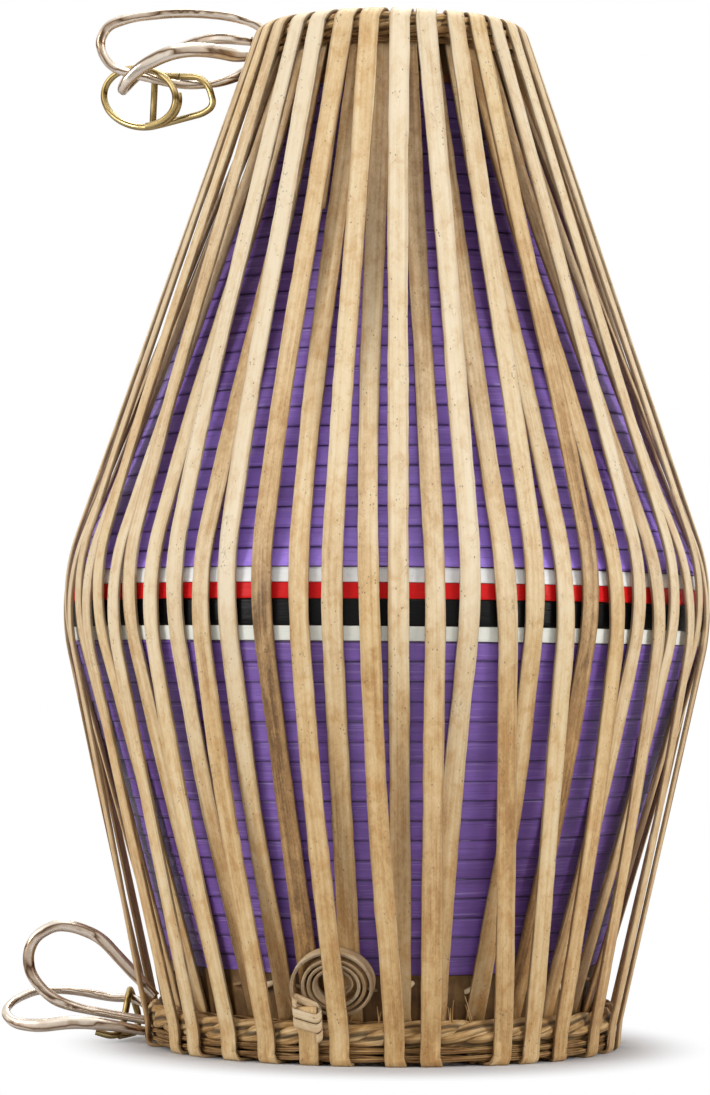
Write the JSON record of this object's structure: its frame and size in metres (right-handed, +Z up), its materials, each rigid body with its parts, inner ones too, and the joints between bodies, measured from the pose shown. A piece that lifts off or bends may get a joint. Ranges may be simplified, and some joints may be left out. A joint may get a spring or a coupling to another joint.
{
  "type": "khol drum",
  "caption": "Two-headed hand drum of fired clay with rawhide lacing over taped walls, hoops at both heads, and wire carrying loops with rings on one side.",
  "frame": {"origin": "on the drum's axis, at the floor that the drum stands on", "axes": "+Z up along the drum's axis from the wide bass head to the narrow treble head, front towards -Y, carrying loops towards -X"},
  "size_m": [0.4149, 0.3807, 0.6115],
  "materials": {
    "clay": "matt",
    "purple_tape": "gloss",
    "white_tape": "satin",
    "red_tape": "satin",
    "black_tape": "satin",
    "head_skin": "matt",
    "rim_skin": "matt",
    "paste": "matt",
    "twisted_hide": "matt",
    "cane": "matt",
    "rawhide": "satin",
    "loop_wire": "satin",
    "ring_wire": "dull"
  },
  "bodies": {
    "drum": {"clay_shell": "clay", "upper_winding": "purple_tape", "lower_winding": "purple_tape", "white_band_upper": "white_tape", "red_band": "red_tape", "black_band": "black_tape", "white_band_lower": "white_tape", "treble_skin": "head_skin", "treble_rim_skin": "rim_skin", "treble_paste": "paste", "treble_hoop": "twisted_hide", "treble_cane_rings": "cane", "bass_skin": "head_skin", "bass_rim_skin": "rim_skin", "bass_paste": "paste", "bass_hoop": "twisted_hide", "bass_cane_rings": "cane", "bass_skirt_thong": "rawhide", "lace_coil": "rawhide", "coil_tie": "rawhide", "upper_carry_loop_long": "loop_wire", "upper_carry_loop_short": "loop_wire", "lower_carry_loop_upright": "loop_wire", "lower_carry_loop_flat": "loop_wire", "lace_lap_01": "rawhide", "lace_lap_02": "rawhide", "lace_lap_03": "rawhide", "lace_lap_04": "rawhide", "lace_lap_05": "rawhide", "lace_lap_06": "rawhide", "lace_lap_07": "rawhide", "lace_lap_08": "rawhide", "lace_lap_09": "rawhide", "lace_lap_10": "rawhide", "lace_lap_11": "rawhide", "lace_lap_12": "rawhide", "lace_lap_13": "rawhide", "lace_lap_14": "rawhide", "lace_lap_15": "rawhide", "lace_lap_16": "rawhide", "lace_lap_17": "rawhide", "lace_lap_18": "rawhide", "lace_lap_19": "rawhide", "lace_lap_20": "rawhide", "lace_lap_21": "rawhide", "lace_lap_22": "rawhide", "lace_lap_23": "rawhide", "lace_lap_24": "rawhide", "lace_lap_25": "rawhide", "lace_lap_26": "rawhide", "lace_lap_27": "rawhide", "lace_lap_28": "rawhide", "lace_lap_29": "rawhide", "lace_lap_30": "rawhide", "lace_lap_31": "rawhide", "lace_lap_32": "rawhide"},
    "round_ring": {"upper_round_ring": "ring_wire"},
    "d_ring": {"upper_d_ring": "ring_wire"},
    "floor_ring": {"lower_ring": "ring_wire"}
  },
  "joints": [
    {"name": "round_ring_swing", "type": "hinge", "parent": "drum", "child": "round_ring", "pos_m": [-0.14699, 0, 0.57031], "axis": [0.9773, 0, -0.2121], "range_deg": [-25, 2]},
    {"name": "d_ring_swing", "type": "hinge", "parent": "drum", "child": "d_ring", "pos_m": [-0.1242, 0, 0.5659], "axis": [0.9912, 0, -0.1327], "range_deg": [-2, 35]},
    {"name": "floor_ring_swing", "type": "hinge", "parent": "drum", "child": "floor_ring", "pos_m": [-0.15, 0.0117, 0.0244], "axis": [0.9783, -0.2061, 0.02], "range_deg": [-4, 35]}
  ]
}
